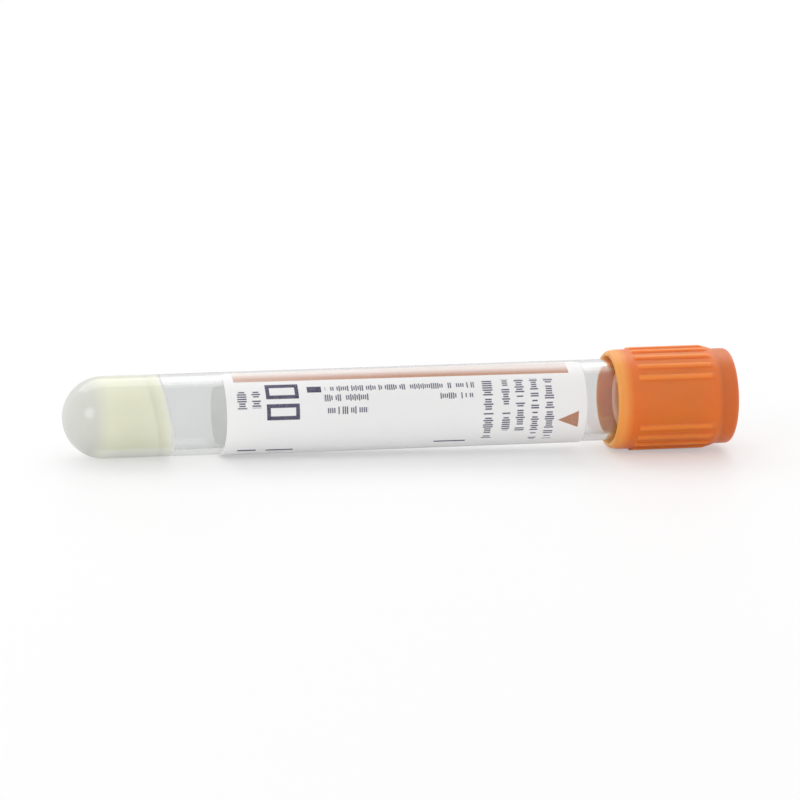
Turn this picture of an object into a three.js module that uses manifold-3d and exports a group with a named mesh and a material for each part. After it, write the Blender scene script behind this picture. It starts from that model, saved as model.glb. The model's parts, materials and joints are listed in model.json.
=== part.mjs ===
// An evacuated blood collection tube with its push-on safety closure, lying on its side.
//
// A clear moulded tube with a round bottom holds a plug of separator gel and carries a paper
// label. A rubber stopper plugs its mouth, and a moulded shield holds the stopper by its flange
// and reaches down over the outside of the tube as a skirt.
//
// Every piece is modelled on one upright axis, with z measured in millimetres from the tip of
// the round bottom. The finished assembly is then laid down along +X, where it rests on the
// round bottom and on two ribs of the closure.

import * as THREE from "three";
import { mergeVertices } from "three/addons/utils/BufferGeometryUtils.js";
import Module from "manifold-3d";

const wasm = await Module();
wasm.setup();

// ---- Driving dimensions, millimetres and degrees ----

const TUBE_LENGTH = 100; // tip of the round bottom to the rim
const TUBE_R = 6.5; // outside
const TUBE_WALL = 1.0;
const TUBE_TIP_WALL = 1.6; // the moulding is thicker at the middle of the bottom
const BEVEL = 0.25; // on the rim, the stopper's head and the needle hole

const GEL_HEIGHT = 15.2; // tip of the tube to the middle of the gel's face
const GEL_SLANT = 8; // the gel set a little aslant
const GEL_GAP = 0.03; // the gel wets the wall

const LABEL_START = 25;
const LABEL_LENGTH = 58.5;
const LABEL_PAPER = 0.1;
const LABEL_GAP = 0.03; // the adhesive
const LABEL_WRAP = 300; // the rest is a clear strip for reading the fill
const LABEL_EDGE = -172.5; // the label's upper edge, an angle from the floor side

const PLUG_LENGTH = 9.5; // rubber inside the tube
const PLUG_GAP = 0.04; // stopper to bore
const PLUG_LEAD = 1.1; // length of the tapered leading end
const PLUG_TAPER = 0.55;
const HOLLOW_R = 3.2; // the hollow under the plug keeps the rubber thin for the needle
const HOLLOW_DEPTH = 6.0;
const HOLLOW_DRAFT = 0.6; // narrower at its roof
const HOLLOW_ROUND = 1.6; // height of its domed roof
const FLANGE_HEIGHT = 1.9; // the flange bears on the tube's rim
const FLANGE_STEP = 0.75; // from the flange in to the head
const HEAD_HEIGHT = 4.85; // above the flange
const WELL_R = 4.2; // needle well in the head
const WELL_DEPTH = 3.6;
const SEAT_GAP = 0.05; // between surfaces that bear on each other

const SKIRT_LENGTH = 11.5; // the shield's reach past the rim
const SKIRT_CLEARANCE = 0.55; // tube to skirt
const SHIELD_WALL = 0.9;
const COLLAR_WALL = 1.35;
const TOP_PLATE = 1.6;
const TOP_HOLE_R = 4.5;
const TOP_EDGE = 0.8; // round on the collar's outer edge
const LIP_LENGTH = 1.6; // the skirt's rounded lip
const LIP_DROP = 0.6;
const SHOULDER_RISE = 1.0; // slope between barrel and collar
const COLLAR_LENGTH = 2.6;
const BEAD_HEIGHT = 0.7; // bead that the stopper's flange snaps past
const BEAD_CREST = 0.2;

const RIB_PLACES = 24; // evenly round the barrel
const RIB_HEIGHT = 0.35;
const RIB_WIDTH = 1.0;
const RIB_SETBACK = 3.3; // ribs begin this far above the lip
const RIB_RUNOUT = 2.2; // ribs slope down to the collar over this length
const PANEL_ANGLE = 60; // each smooth panel, where ribs are left out
const PANEL_CENTRES = [-97.5, 82.5]; // angles from the floor side

const GUIDE_COUNT = 8; // low ribs inside the skirt that centre it on the tube
const GUIDE_WIDTH = 0.6;
const GUIDE_SETBACK = 1.2;
const PASS_CLEARANCE = 0.05; // guides and bead pass over tube and label with this to spare

const TURN = 2 * RIB_PLACES; // flats round every turned piece, with a corner on each rib
const DOME_STEPS = 8;

// ---- Derived sizes ----

const BORE_R = TUBE_R - TUBE_WALL;
const PLUG_R = BORE_R - PLUG_GAP;
const LABEL_INNER = TUBE_R + LABEL_GAP;
const LABEL_OUTER = LABEL_INNER + LABEL_PAPER;
const PASS_R = LABEL_OUTER + PASS_CLEARANCE;
const SKIRT_BORE = TUBE_R + SKIRT_CLEARANCE;
const FLANGE_R = SKIRT_BORE - 2 * SEAT_GAP;
const BARREL_R = SKIRT_BORE + SHIELD_WALL;
const RIB_TIP_R = BARREL_R + RIB_HEIGHT;
const HEAD_R = FLANGE_R - FLANGE_STEP;
const CHAMBER_R = HEAD_R + SEAT_GAP;
const COLLAR_R = CHAMBER_R + COLLAR_WALL;

const FLANGE_Z = TUBE_LENGTH + SEAT_GAP;
const HEAD_Z = FLANGE_Z + FLANGE_HEIGHT;
const HEAD_TOP = HEAD_Z + HEAD_HEIGHT;
const LIP_Z = TUBE_LENGTH - SKIRT_LENGTH;
const PLATE_Z = HEAD_TOP + SEAT_GAP;
const TOP_Z = PLATE_Z + TOP_PLATE;
const SHOULDER_TOP = TOP_Z - COLLAR_LENGTH;
const RIB_START = LIP_Z + RIB_SETBACK;
const BEAD_Z = FLANGE_Z - SEAT_GAP - BEAD_HEIGHT;
const ROOT = SHIELD_WALL / 2; // ribs and guides are rooted this deep in the shell

const radians = THREE.MathUtils.degToRad;

// ---- Tools for shapes ----

// Points of a quarter ellipse from (r0, z0) to (r1, z1). "out" leaves along r and arrives
// along z; "up" leaves along z and arrives along r.
function quarter(r0, z0, r1, z1, leave, steps) {
  const points = [];
  for (let i = 1; i < steps; i++) {
    const turn = (Math.PI / 2) * (i / steps);
    const early = 1 - Math.cos(turn);
    const late = Math.sin(turn);
    const [u, v] = leave === "out" ? [late, early] : [early, late];
    points.push([r0 + (r1 - r0) * u, z0 + (z1 - z0) * v]);
  }
  points.push([r1, z1]);
  return points;
}

// A solid turned about the upright axis from a list of [radius, z].
function turned(profile) {
  const points = profile.map(([r, z]) => new THREE.Vector2(r, z));
  return new THREE.LatheGeometry(points, TURN).rotateX(Math.PI / 2).rotateZ(Math.PI / 2);
}

function toSolid(geometry) {
  const bare = geometry.index ? geometry.clone() : mergeVertices(geometry);
  bare.deleteAttribute("normal");
  bare.deleteAttribute("uv");
  const merged = mergeVertices(bare, 1e-5);
  return new wasm.Manifold(new wasm.Mesh({
    numProp: 3,
    vertProperties: new Float32Array(merged.attributes.position.array),
    triVerts: new Uint32Array(merged.index.array),
  }));
}

function toGeometry(solid) {
  const mesh = solid.getMesh();
  const geometry = new THREE.BufferGeometry();
  geometry.setAttribute("position", new THREE.BufferAttribute(mesh.vertProperties, 3));
  geometry.setIndex(new THREE.BufferAttribute(mesh.triVerts, 1));
  return geometry;
}

function piece(name, geometry, color, roughness, opacity = 1) {
  const material = new THREE.MeshStandardMaterial({ color, roughness, metalness: 0 });
  material.transparent = opacity < 1;
  material.opacity = opacity;
  const mesh = new THREE.Mesh(geometry, material);
  mesh.name = name;
  return mesh;
}

// ---- Pieces ----

function makeTube() {
  const springZ = TUBE_R; // where the round bottom meets the straight wall, inside and out
  const profile = [
    [0, 0],
    ...quarter(0, 0, TUBE_R, springZ, "out", DOME_STEPS),
    [TUBE_R, TUBE_LENGTH - BEVEL],
    [TUBE_R - BEVEL, TUBE_LENGTH],
    [BORE_R + BEVEL, TUBE_LENGTH],
    [BORE_R, TUBE_LENGTH - BEVEL],
    [BORE_R, springZ],
    ...quarter(BORE_R, springZ, 0, TUBE_TIP_WALL, "up", DOME_STEPS),
  ];
  return piece("tube", turned(profile), 0xe4e8ea, 0.08, 0.3);
}

// The gel fills the round bottom. A slab at the slant takes off what stands above its face.
function makeGel() {
  const r = BORE_R - GEL_GAP;
  const tip = TUBE_TIP_WALL + GEL_GAP;
  const rise = r * Math.tan(radians(GEL_SLANT));
  const blank = turned([
    [0, tip],
    ...quarter(0, tip, r, TUBE_R, "out", DOME_STEPS),
    [r, GEL_HEIGHT + 2 * rise],
    [0, GEL_HEIGHT + 2 * rise],
  ]);
  const slabHeight = 6 * rise;
  const slab = new THREE.BoxGeometry(4 * r, 4 * r, slabHeight)
    .translate(0, 0, slabHeight / 2)
    .rotateY(-radians(GEL_SLANT))
    .translate(0, 0, GEL_HEIGHT);
  const gel = toSolid(blank).subtract(toSolid(slab));
  return piece("separator_gel", toGeometry(gel), 0xd9db9f, 0.35, 0.9);
}

function makeLabel() {
  const from = radians(LABEL_EDGE);
  const to = radians(LABEL_EDGE + LABEL_WRAP);
  const section = new THREE.Shape()
    .absarc(0, 0, LABEL_OUTER, from, to, false)
    .absarc(0, 0, LABEL_INNER, to, from, true);
  const curveSegments = Math.round((TURN * LABEL_WRAP) / 360);
  const paper = new THREE.ExtrudeGeometry(section, {
    depth: LABEL_LENGTH,
    bevelEnabled: false,
    curveSegments,
  }).translate(0, 0, LABEL_START);
  return piece("label", paper, 0xf1efee, 0.7);
}

function makeStopper() {
  const plugEnd = TUBE_LENGTH - PLUG_LENGTH;
  const roof = plugEnd + HOLLOW_DEPTH;
  const wellFloor = HEAD_TOP - WELL_DEPTH;
  const profile = [
    [0, roof],
    ...quarter(0, roof, HOLLOW_R - HOLLOW_DRAFT, roof - HOLLOW_ROUND, "out", 4),
    [HOLLOW_R, plugEnd],
    [PLUG_R - PLUG_TAPER, plugEnd],
    [PLUG_R, plugEnd + PLUG_LEAD],
    [PLUG_R, FLANGE_Z],
    [FLANGE_R, FLANGE_Z],
    [FLANGE_R, HEAD_Z],
    [HEAD_R, HEAD_Z],
    [HEAD_R, HEAD_TOP - BEVEL],
    [HEAD_R - BEVEL, HEAD_TOP],
    [WELL_R, HEAD_TOP],
    ...quarter(WELL_R, HEAD_TOP, 0, wellFloor, "up", 5),
  ];
  return piece("rubber_stopper", turned(profile), 0xc9683a, 0.6);
}

function makeShieldShell() {
  const lipR = BARREL_R - LIP_DROP;
  const shelfZ = HEAD_Z + SEAT_GAP;
  const beadSlope = (BEAD_HEIGHT - BEAD_CREST) / 2;
  return turned([
    [lipR, LIP_Z],
    ...quarter(lipR, LIP_Z, BARREL_R, LIP_Z + LIP_LENGTH, "out", 4),
    [BARREL_R, SHOULDER_TOP - SHOULDER_RISE],
    [COLLAR_R, SHOULDER_TOP],
    [COLLAR_R, TOP_Z - TOP_EDGE],
    ...quarter(COLLAR_R, TOP_Z - TOP_EDGE, COLLAR_R - TOP_EDGE, TOP_Z, "up", 4),
    [TOP_HOLE_R + BEVEL, TOP_Z],
    [TOP_HOLE_R, TOP_Z - BEVEL],
    [TOP_HOLE_R, PLATE_Z],
    [CHAMBER_R, PLATE_Z],
    [CHAMBER_R, shelfZ],
    [SKIRT_BORE, shelfZ],
    [SKIRT_BORE, BEAD_Z + BEAD_HEIGHT],
    [PASS_R, BEAD_Z + BEAD_HEIGHT - beadSlope],
    [PASS_R, BEAD_Z + beadSlope],
    [SKIRT_BORE, BEAD_Z],
    [SKIRT_BORE, LIP_Z],
    [lipR, LIP_Z],
  ]);
}

// One rounded rib along the barrel, on the +X side, rooted in the wall.
function ribBar() {
  const root = BARREL_R - ROOT;
  const half = RIB_WIDTH / 2;
  const section = new THREE.Shape().moveTo(root, -half).lineTo(BARREL_R, -half);
  for (let step = 1; step < 4; step++) {
    const turn = (Math.PI * step) / 4;
    section.lineTo(BARREL_R + RIB_HEIGHT * Math.sin(turn), -half * Math.cos(turn));
  }
  section.lineTo(BARREL_R, half).lineTo(root, half);
  return new THREE.ExtrudeGeometry(section, {
    depth: SHOULDER_TOP - RIB_START,
    bevelEnabled: false,
  }).translate(0, 0, RIB_START);
}

// The body that the rib tips follow: a short slope up behind the lip, a straight stretch, and
// a long slope down to the collar.
function ribEnvelope() {
  const over = RIB_TIP_R + RIB_HEIGHT;
  const slope = (over - COLLAR_R) / (RIB_TIP_R - COLLAR_R);
  return turned([
    [0, RIB_START],
    [BARREL_R, RIB_START],
    [over, RIB_START + over - BARREL_R],
    [over, SHOULDER_TOP - RIB_RUNOUT * slope],
    [COLLAR_R, SHOULDER_TOP],
    [0, SHOULDER_TOP],
  ]);
}

function isPanel(angle) {
  return PANEL_CENTRES.some((centre) => {
    const apart = Math.abs(THREE.MathUtils.euclideanModulo(angle - centre + 180, 360) - 180);
    return apart < PANEL_ANGLE / 2 - 0.01;
  });
}

function ribAngles() {
  const pitch = 360 / RIB_PLACES;
  const angles = Array.from({ length: RIB_PLACES }, (_, place) => (place + 0.5) * pitch);
  return angles.filter((angle) => !isPanel(angle));
}

// One low rib inside the skirt, on the +X side.
function guideBar() {
  const outer = SKIRT_BORE + ROOT;
  const from = LIP_Z + GUIDE_SETBACK;
  const to = BEAD_Z - BEAD_HEIGHT;
  return new THREE.BoxGeometry(outer - PASS_R, GUIDE_WIDTH, to - from)
    .translate((PASS_R + outer) / 2, 0, (from + to) / 2);
}

function makeShield() {
  const ring = (bar, angles) => angles.map((a) => toSolid(bar().rotateZ(radians(a))));
  const ribs = wasm.Manifold.union(ring(ribBar, ribAngles())).intersect(toSolid(ribEnvelope()));
  const guideStep = 360 / GUIDE_COUNT;
  const guideAngles = Array.from({ length: GUIDE_COUNT }, (_, i) => i * guideStep);
  const guides = wasm.Manifold.union(ring(guideBar, guideAngles));
  const shield = toSolid(makeShieldShell()).add(ribs).add(guides);
  return piece("closure_shield", toGeometry(shield), 0xdb7436, 0.38);
}

// ---- Assembly ----

const upright = new THREE.Group();
upright.add(makeTube(), makeGel(), makeLabel(), makeStopper(), makeShield());

// Laid down along +X, the part touches the floor where the round bottom begins and at the
// lower ends of the two ribs on either side of the lowest line of the closure.
const ribDrop = RIB_TIP_R * Math.cos(Math.PI / RIB_PLACES);
const ribFoot = RIB_START + RIB_HEIGHT;
const tilt = Math.atan2(ribDrop - TUBE_R, ribFoot - TUBE_R);
upright.rotation.y = Math.PI / 2 - tilt;

const part = new THREE.Group();
part.add(upright);
part.updateMatrixWorld(true);
const bounds = new THREE.Box3().setFromObject(part, true);
const middle = bounds.getCenter(new THREE.Vector3());
upright.position.set(-middle.x, -middle.y, -bounds.min.z);

export default part;
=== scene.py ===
# %% [markdown]
# # A blood collection tube, lying on a bench
# The tube is a clear moulded plastic cylinder, 13 mm across and 100 mm long, with a round
# bottom. It holds a plug of pale separating gel, wears a paper label, and is shut by a rubber
# stopper under a ribbed orange shield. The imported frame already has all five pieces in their
# true places, as plain faceted solids. This lesson gives each one a smooth mesh and a finish,
# then lights the whole on a pale bench.

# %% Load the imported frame
import json
import math
import bmesh
import bpy
from mathutils import Matrix, Vector


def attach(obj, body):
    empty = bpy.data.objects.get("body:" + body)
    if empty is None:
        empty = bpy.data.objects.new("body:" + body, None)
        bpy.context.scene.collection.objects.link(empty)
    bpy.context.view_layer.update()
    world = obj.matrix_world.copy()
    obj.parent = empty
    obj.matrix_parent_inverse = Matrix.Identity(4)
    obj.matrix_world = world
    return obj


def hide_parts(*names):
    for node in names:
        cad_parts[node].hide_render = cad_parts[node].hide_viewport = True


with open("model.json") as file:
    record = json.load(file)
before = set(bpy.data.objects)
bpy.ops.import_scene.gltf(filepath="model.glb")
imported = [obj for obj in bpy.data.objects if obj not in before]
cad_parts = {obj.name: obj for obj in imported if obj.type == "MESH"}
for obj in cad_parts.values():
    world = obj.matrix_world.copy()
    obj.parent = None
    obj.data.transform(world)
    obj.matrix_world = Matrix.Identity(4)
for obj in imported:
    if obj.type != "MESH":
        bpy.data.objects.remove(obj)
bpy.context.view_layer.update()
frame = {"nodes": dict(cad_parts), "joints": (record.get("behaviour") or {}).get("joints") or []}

print("frame pieces:", sorted(frame["nodes"]))

# %% [markdown]
# ## Tube space
# Everything on the tube is round about one line, so it is easiest to draw each piece standing
# upright in millimetres, with its height counted from the tip of the round bottom, and to lay
# it down at the end. The closure's twist joint gives that line: it runs through the middle of
# the rim. In tube space x points at the bench, y points away from the camera and z runs from
# the tip to the closure.

# %% Tube space from the twist joint
MM = 0.001
TUBE_LENGTH = 100.0

twist = next(joint for joint in frame["joints"] if joint["name"] == "closure_twist")
along = Vector(twist["axis"]).normalized()
across = Vector((0.0, 1.0, 0.0))
benchward = across.cross(along)
tip = Vector(twist["pos_m"]) - along * TUBE_LENGTH * MM
lay_down = (
    Matrix.Translation(tip)
    @ Matrix((benchward, across, along)).transposed().to_4x4()
    @ Matrix.Scale(MM, 4)
)
print("tip of the round bottom, mm:", [round(1000 * place, 3) for place in tip])

# %% [markdown]
# ## Sizes
# Every size that two pieces share, or that a shape and its finish share, is named once, in
# millimetres, and repeats the size that the frame was built with. A seam between two pieces
# then closes by itself.

# %% Sizes shared by the pieces
TUBE_R = 6.5
BORE_R = 5.5
TIP_WALL = 1.6
LABEL_START = 25.0
LABEL_END = 83.5
LABEL_R = 6.63
PLUG_R = 5.46
PLUG_END = 90.5
SKIRT_BORE = 7.05
BARREL_R = 7.95
RIB_TIP_R = 8.28
COLLAR_R = 7.60
LIP_Z = 88.5
SHOULDER_START = 104.85
SHOULDER_TOP = 105.85
TOP_Z = 108.45
print("the closure runs from", LIP_Z, "to", TOP_Z, "mm above the tip")

# %% [markdown]
# ## Turning a profile
# A lathe shape is a half outline swept round the axis. Blender's Screw modifier could do it,
# but ribs and guide bars have to push single points out of the round, so the sweep is written
# by hand: a ring of points for each point of the outline, and one pole where the outline
# meets the axis. A second helper rounds the outline's corners, because no moulded edge is
# truly sharp and a rounded edge is what catches the light.

# %% Outline helpers
ROUNDING_STEPS = 6
MOST_OF_A_SIDE = 0.45
ON_THE_AXIS = 1e-6


def quarter(r0, z0, r1, z1, leave, steps):
    """Points of a quarter ellipse. "out" leaves along r, "up" leaves along z."""
    points = []
    for step in range(1, steps + 1):
        turn = math.pi / 2 * step / steps
        early, late = 1 - math.cos(turn), math.sin(turn)
        u, v = (late, early) if leave == "out" else (early, late)
        points.append((r0 + (r1 - r0) * u, z0 + (z1 - z0) * v, 0))
    return points


def softened(corners, closed):
    """The (r, z, rounding) corners as (r, z) points, each rounding as a short curve."""
    points = []
    for place, (r, z, rounding) in enumerate(corners):
        at_end = place in (0, len(corners) - 1) and not closed
        if rounding == 0 or at_end:
            points.append((r, z))
            continue
        here = Vector((r, z))
        before = Vector(corners[place - 1][:2]) - here
        after = Vector(corners[(place + 1) % len(corners)][:2]) - here
        reach = rounding / math.tan(before.angle(after) / 2)
        reach = min(reach, MOST_OF_A_SIDE * before.length, MOST_OF_A_SIDE * after.length)
        start = here + before.normalized() * reach
        end = here + after.normalized() * reach
        for step in range(ROUNDING_STEPS + 1):
            share = step / ROUNDING_STEPS
            bend = start.lerp(here, share).lerp(here.lerp(end, share), share)
            points.append((bend.x, bend.y))
    return points


def turned(outline, flats, closed=False, push=None):
    """Points and faces of an outline turned about the axis; push may move a radius."""
    points, faces, rings = [], [], []
    for r, z in outline:
        if r < ON_THE_AXIS:
            rings.append([len(points)])
            points.append((0.0, 0.0, z))
            continue
        rings.append(list(range(len(points), len(points) + flats)))
        for flat in range(flats):
            angle = 2 * math.pi * flat / flats
            radius = push(r, z, angle) if push else r
            points.append((radius * math.cos(angle), radius * math.sin(angle), z))
    pairs = list(zip(rings, rings[1:]))
    if closed:
        pairs.append((rings[-1], rings[0]))
    for one, two in pairs:
        for flat in range(flats):
            following = (flat + 1) % flats
            if len(one) == 1 and len(two) > 1:
                faces.append((one[0], two[flat], two[following]))
            elif len(two) == 1 and len(one) > 1:
                faces.append((one[flat], one[following], two[0]))
            elif len(one) > 1:
                faces.append((one[flat], one[following], two[following], two[flat]))
    return points, faces


print("a right angle softened by 1 mm:", len(softened([(0, 0, 0), (5, 0, 1), (5, 5, 0)], False)))

# %% [markdown]
# ## From points to a piece
# Each piece is laid down, given smooth shading and even normals, and handed to the frame: it
# rides on its body, takes its finishes, and the plain solid it stands for is hidden. The
# upright millimetre coordinates stay on every point as an attribute, so that a grain or a
# flow line can run along the tube whatever way the tube lies.

# %% Make a piece
EVEN_NORMAL_WEIGHT = 60


def keep_coordinates(mesh, name, triples):
    attribute = mesh.attributes.new(name, "FLOAT_VECTOR", "POINT")
    attribute.data.foreach_set("vector", [number for triple in triples for number in triple])


def make_piece(name, points, faces, body, node, finishes, finish_of=None):
    mesh = bpy.data.meshes.new(name)
    mesh.from_pydata([lay_down @ Vector(point) for point in points], [], faces)
    keep_coordinates(mesh, "upright_mm", points)
    for finish in finishes:
        mesh.materials.append(finish)
    if finish_of:
        for polygon in mesh.polygons:
            polygon.material_index = finish_of(polygon.index)
    shape = bmesh.new()
    shape.from_mesh(mesh)
    bmesh.ops.recalc_face_normals(shape, faces=shape.faces)
    shape.to_mesh(mesh)
    shape.free()
    mesh.shade_smooth()
    piece = bpy.data.objects.new(name, mesh)
    bpy.context.scene.collection.objects.link(piece)
    even = piece.modifiers.new("even normals", "WEIGHTED_NORMAL")
    even.weight = EVEN_NORMAL_WEIGHT
    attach(piece, body)
    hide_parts(node)
    print(name, "has", len(mesh.polygons), "faces")
    return piece


# %% [markdown]
# ## Node helpers
# A finish is a small web of nodes. A few helpers keep the web short to write: they add a
# node, do a sum, mix two colours or two shaders, and carry a number from one range to
# another. A number that is the same all over a surface goes straight onto the shader's own
# socket.

# %% Helpers that add one node
def feed(tree, socket, value):
    """Give a socket its value: a link from another node, or a plain number or colour."""
    if hasattr(value, "is_output"):
        tree.links.new(value, socket)
    else:
        socket.default_value = value


def add_node(tree, kind, values=None, **settings):
    node = tree.nodes.new(kind)
    for name, value in settings.items():
        setattr(node, name, value)
    for name, value in (values or {}).items():
        feed(tree, node.inputs[name], value)
    return node


def sums(tree, operation, *values):
    node = add_node(tree, "ShaderNodeMath", operation=operation)
    for socket, value in zip(node.inputs, values):
        feed(tree, socket, value)
    return node.outputs[0]


def spread(tree, value, low, high, to_low, to_high):
    """The value carried from one range to another, and held at its ends."""
    ranges = {"From Min": low, "From Max": high, "To Min": to_low, "To Max": to_high}
    return add_node(tree, "ShaderNodeMapRange", {"Value": value, **ranges}).outputs["Result"]


def mixed(tree, share, first, second):
    """Two colours mixed. A Mix node takes colours at inputs 6 and 7 and gives one at output 2."""
    node = add_node(tree, "ShaderNodeMix", {0: share}, data_type="RGBA")
    feed(tree, node.inputs[6], first)
    feed(tree, node.inputs[7], second)
    return node.outputs[2]


def blended(tree, share, first, second):
    """Two shaders mixed: the second shows where the share is 1."""
    node = add_node(tree, "ShaderNodeMixShader", {0: share})
    feed(tree, node.inputs[1], first)
    feed(tree, node.inputs[2], second)
    return node.outputs[0]


def stored(tree, name):
    """Coordinates that were kept on the points under this name."""
    return add_node(tree, "ShaderNodeAttribute", attribute_name=name).outputs["Vector"]


def part_of(tree, vector, axis):
    return add_node(tree, "ShaderNodeSeparateXYZ", {0: vector}).outputs[axis]


def length_of(tree, vector):
    measure = add_node(tree, "ShaderNodeVectorMath", {0: vector}, operation="LENGTH")
    return measure.outputs["Value"]


print("node helpers ready")

# %% Helpers for a finish
CLOUD_RANGE = (0.3, 0.7)


def start_finish(name, constants):
    finish = bpy.data.materials.new(name)
    finish.use_nodes = True
    tree = finish.node_tree
    shader = tree.nodes["Principled BSDF"]
    for socket, value in constants.items():
        shader.inputs[socket].default_value = value
    return finish, tree, shader, stored(tree, "upright_mm")


def clouds(tree, place, size, detail=3.0, stretch=(1, 1, 1)):
    """Soft noise whose patches are about `size` millimetres, longer where stretch is under 1."""
    scaled = add_node(tree, "ShaderNodeVectorMath", {0: place, 1: stretch}, operation="MULTIPLY")
    noise = add_node(
        tree, "ShaderNodeTexNoise", {"Vector": scaled.outputs[0], "Scale": 1 / size, "Detail": detail}
    )
    return noise.outputs["Fac"]


def bumped(tree, shader, height, depth):
    """Stand the height, from 0 to 1, this many millimetres off the surface."""
    bump = add_node(tree, "ShaderNodeBump", {"Height": height, "Strength": 1.0})
    bump.inputs["Distance"].default_value = depth * MM
    feed(tree, shader.inputs["Normal"], bump.outputs["Normal"])


def show(tree, surface):
    tree.links.new(surface, tree.nodes["Material Output"].inputs["Surface"])


print("finish helpers ready")

# %% [markdown]
# ## The clear plastic
# The tube is injection moulded from a clear polyester, which bends light a little more than
# window glass and is very slightly grey. A Principled shader with full transmission does it.
# Near its outline the wall is seen almost edge on, so light crosses more plastic there: the
# Layer Weight node mixes in a darker grey, and that grey is partly painted shade, standing for
# the dark lines that darker surroundings draw along the edge of clear plastic. The polish is
# not perfect: the plastic flows along the mould, so faint streaks run the length of the tube,
# handling leaves a little haze, and the round bottom is slightly matt. Refraction alone would
# leave the contents in the dark, because a lamp's light can't find its way through a bent
# surface, so for the rays that carry lamp light and soft light the wall is simply see-through.

# %% Clear plastic finish
POLYESTER_IOR = 1.57
CLEAR_HAZY = (0.79, 0.797, 0.80, 1)
CLEAR_BRIGHT = (0.835, 0.838, 0.838, 1)
CLEAR_EDGE_AND_PAINTED_SHADE = (0.40, 0.41, 0.42, 1)
EDGE_SHADE_TURN = (0.66, 0.92)
LIGHT_LET_THROUGH = (0.95, 0.955, 0.95, 1)
HAZE_PATCH = 4.0
HAZE_RANGE = (0.35, 0.75)
POLISH = (0.015, 0.06)
DOME_MATT = 0.13
DOME_MATT_END = (TUBE_R - 1.0, TUBE_R + 2.0)
STREAK_WIDTH = 0.5
STREAK_STRETCH = (1, 1, 0.04)
STREAK_DEPTH = 0.002


def clear_plastic():
    constants = {"Transmission Weight": 1.0, "IOR": POLYESTER_IOR}
    finish, tree, shader, place = start_finish("clear_plastic", constants)
    haze = clouds(tree, place, HAZE_PATCH)
    tint = mixed(tree, haze, CLEAR_HAZY, CLEAR_BRIGHT)
    # Partly painted shade: near the outline the tint is painted darker, like the dark edge lines of
    # clear plastic.
    facing = add_node(tree, "ShaderNodeLayerWeight", {"Blend": 0.5}).outputs["Facing"]
    edge = spread(tree, facing, *EDGE_SHADE_TURN, 0.0, 1.0)
    feed(tree, shader.inputs["Base Color"], mixed(tree, edge, tint, CLEAR_EDGE_AND_PAINTED_SHADE))
    matt = spread(tree, part_of(tree, place, "Z"), *DOME_MATT_END, DOME_MATT, 0.0)
    dull = sums(tree, "ADD", spread(tree, haze, *HAZE_RANGE, *POLISH), matt)
    feed(tree, shader.inputs["Roughness"], dull)
    bumped(tree, shader, clouds(tree, place, STREAK_WIDTH, stretch=STREAK_STRETCH), STREAK_DEPTH)
    rays = add_node(tree, "ShaderNodeLightPath").outputs
    surface = shader.outputs[0]
    for ray in ("Is Shadow Ray", "Is Diffuse Ray"):
        passing = add_node(tree, "ShaderNodeBsdfTransparent", {"Color": LIGHT_LET_THROUGH})
        surface = blended(tree, rays[ray], surface, passing.outputs[0])
    show(tree, surface)
    return finish


clear_finish = clear_plastic()
print("made", clear_finish.name)

# %% [markdown]
# ## The tube
# The outline runs from the tip up the outside, over the rounded rim and down the bore to the
# inner round bottom, whose wall is thicker because the plastic enters the mould there. The
# gate leaves a small dimple on the tip, so the outline has finer steps round it. A plain
# cylinder with a dome would have no wall, and clear plastic shows its wall everywhere. The
# sweep has enough flats to keep the refraction smooth.

# %% Tube
GATE_R = 1.1
GATE_DEPTH = 0.22
FINE_STEP = 0.12
FINE_R = 1.5
WALL_RINGS = (30.0, 60.0)
RIM_ROUNDING = 0.35
TUBE_FLATS = 256


def gate_dimple(r, z):
    """The tip is sunk a little where the plastic entered the mould."""
    if r > GATE_R or z > TIP_WALL / 2:
        return z
    return z + GATE_DEPTH * (0.5 + 0.5 * math.cos(math.pi * r / GATE_R))


def make_tube():
    fine = [FINE_STEP * step for step in range(1, int(FINE_R / FINE_STEP) + 1)]
    dome = quarter(0, 0, TUBE_R, TUBE_R, "out", 40)
    outline = softened(
        [
            (0, 0, 0),
            *[(r, 0.5 * r ** 2 / TUBE_R, 0) for r in fine],
            *[point for point in dome if point[0] > FINE_R],
            *[(TUBE_R, z, 0) for z in WALL_RINGS],
            (TUBE_R, TUBE_LENGTH, RIM_ROUNDING),
            (BORE_R, TUBE_LENGTH, RIM_ROUNDING),
            *[(BORE_R, z, 0) for z in reversed(WALL_RINGS)],
            (BORE_R, TUBE_R, 0),
            *quarter(BORE_R, TUBE_R, 0, TIP_WALL, "up", 32),
        ],
        False,
    )
    outline = [(r, gate_dimple(r, z)) for r, z in outline]
    points, faces = turned(outline, TUBE_FLATS)
    make_piece("clear_tube", points, faces, "tube_body", "tube", [clear_finish])


make_tube()

# %% [markdown]
# ## The separating gel
# The gel is a thick pale paste that fills the round bottom and wets the wall. It has set with
# a slanted face, and it climbs the wall in a thin lip. It is cloudy, so light scatters inside
# it: subsurface scattering gives that, where a plain surface would look like chalk. One
# function makes three finishes. Against the wall there is no air, so there the gel has no
# gloss of its own, and the mesh reaches a hair into the wall. The rim under the free face
# scatters less deep, and the free face itself is glossy. Light and shade are painted into
# the colour: it is painted greyer and darker in the dome, as painted shade and reflection;
# paler towards the rim, where the gel thins and where light led along the wall is painted;
# and paler along the underside, as painted light from the bright bench below.

# %% Gel finish
GEL_BODY = ((0.78, 0.79, 0.63, 1), (0.82, 0.82, 0.68, 1))
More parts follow.
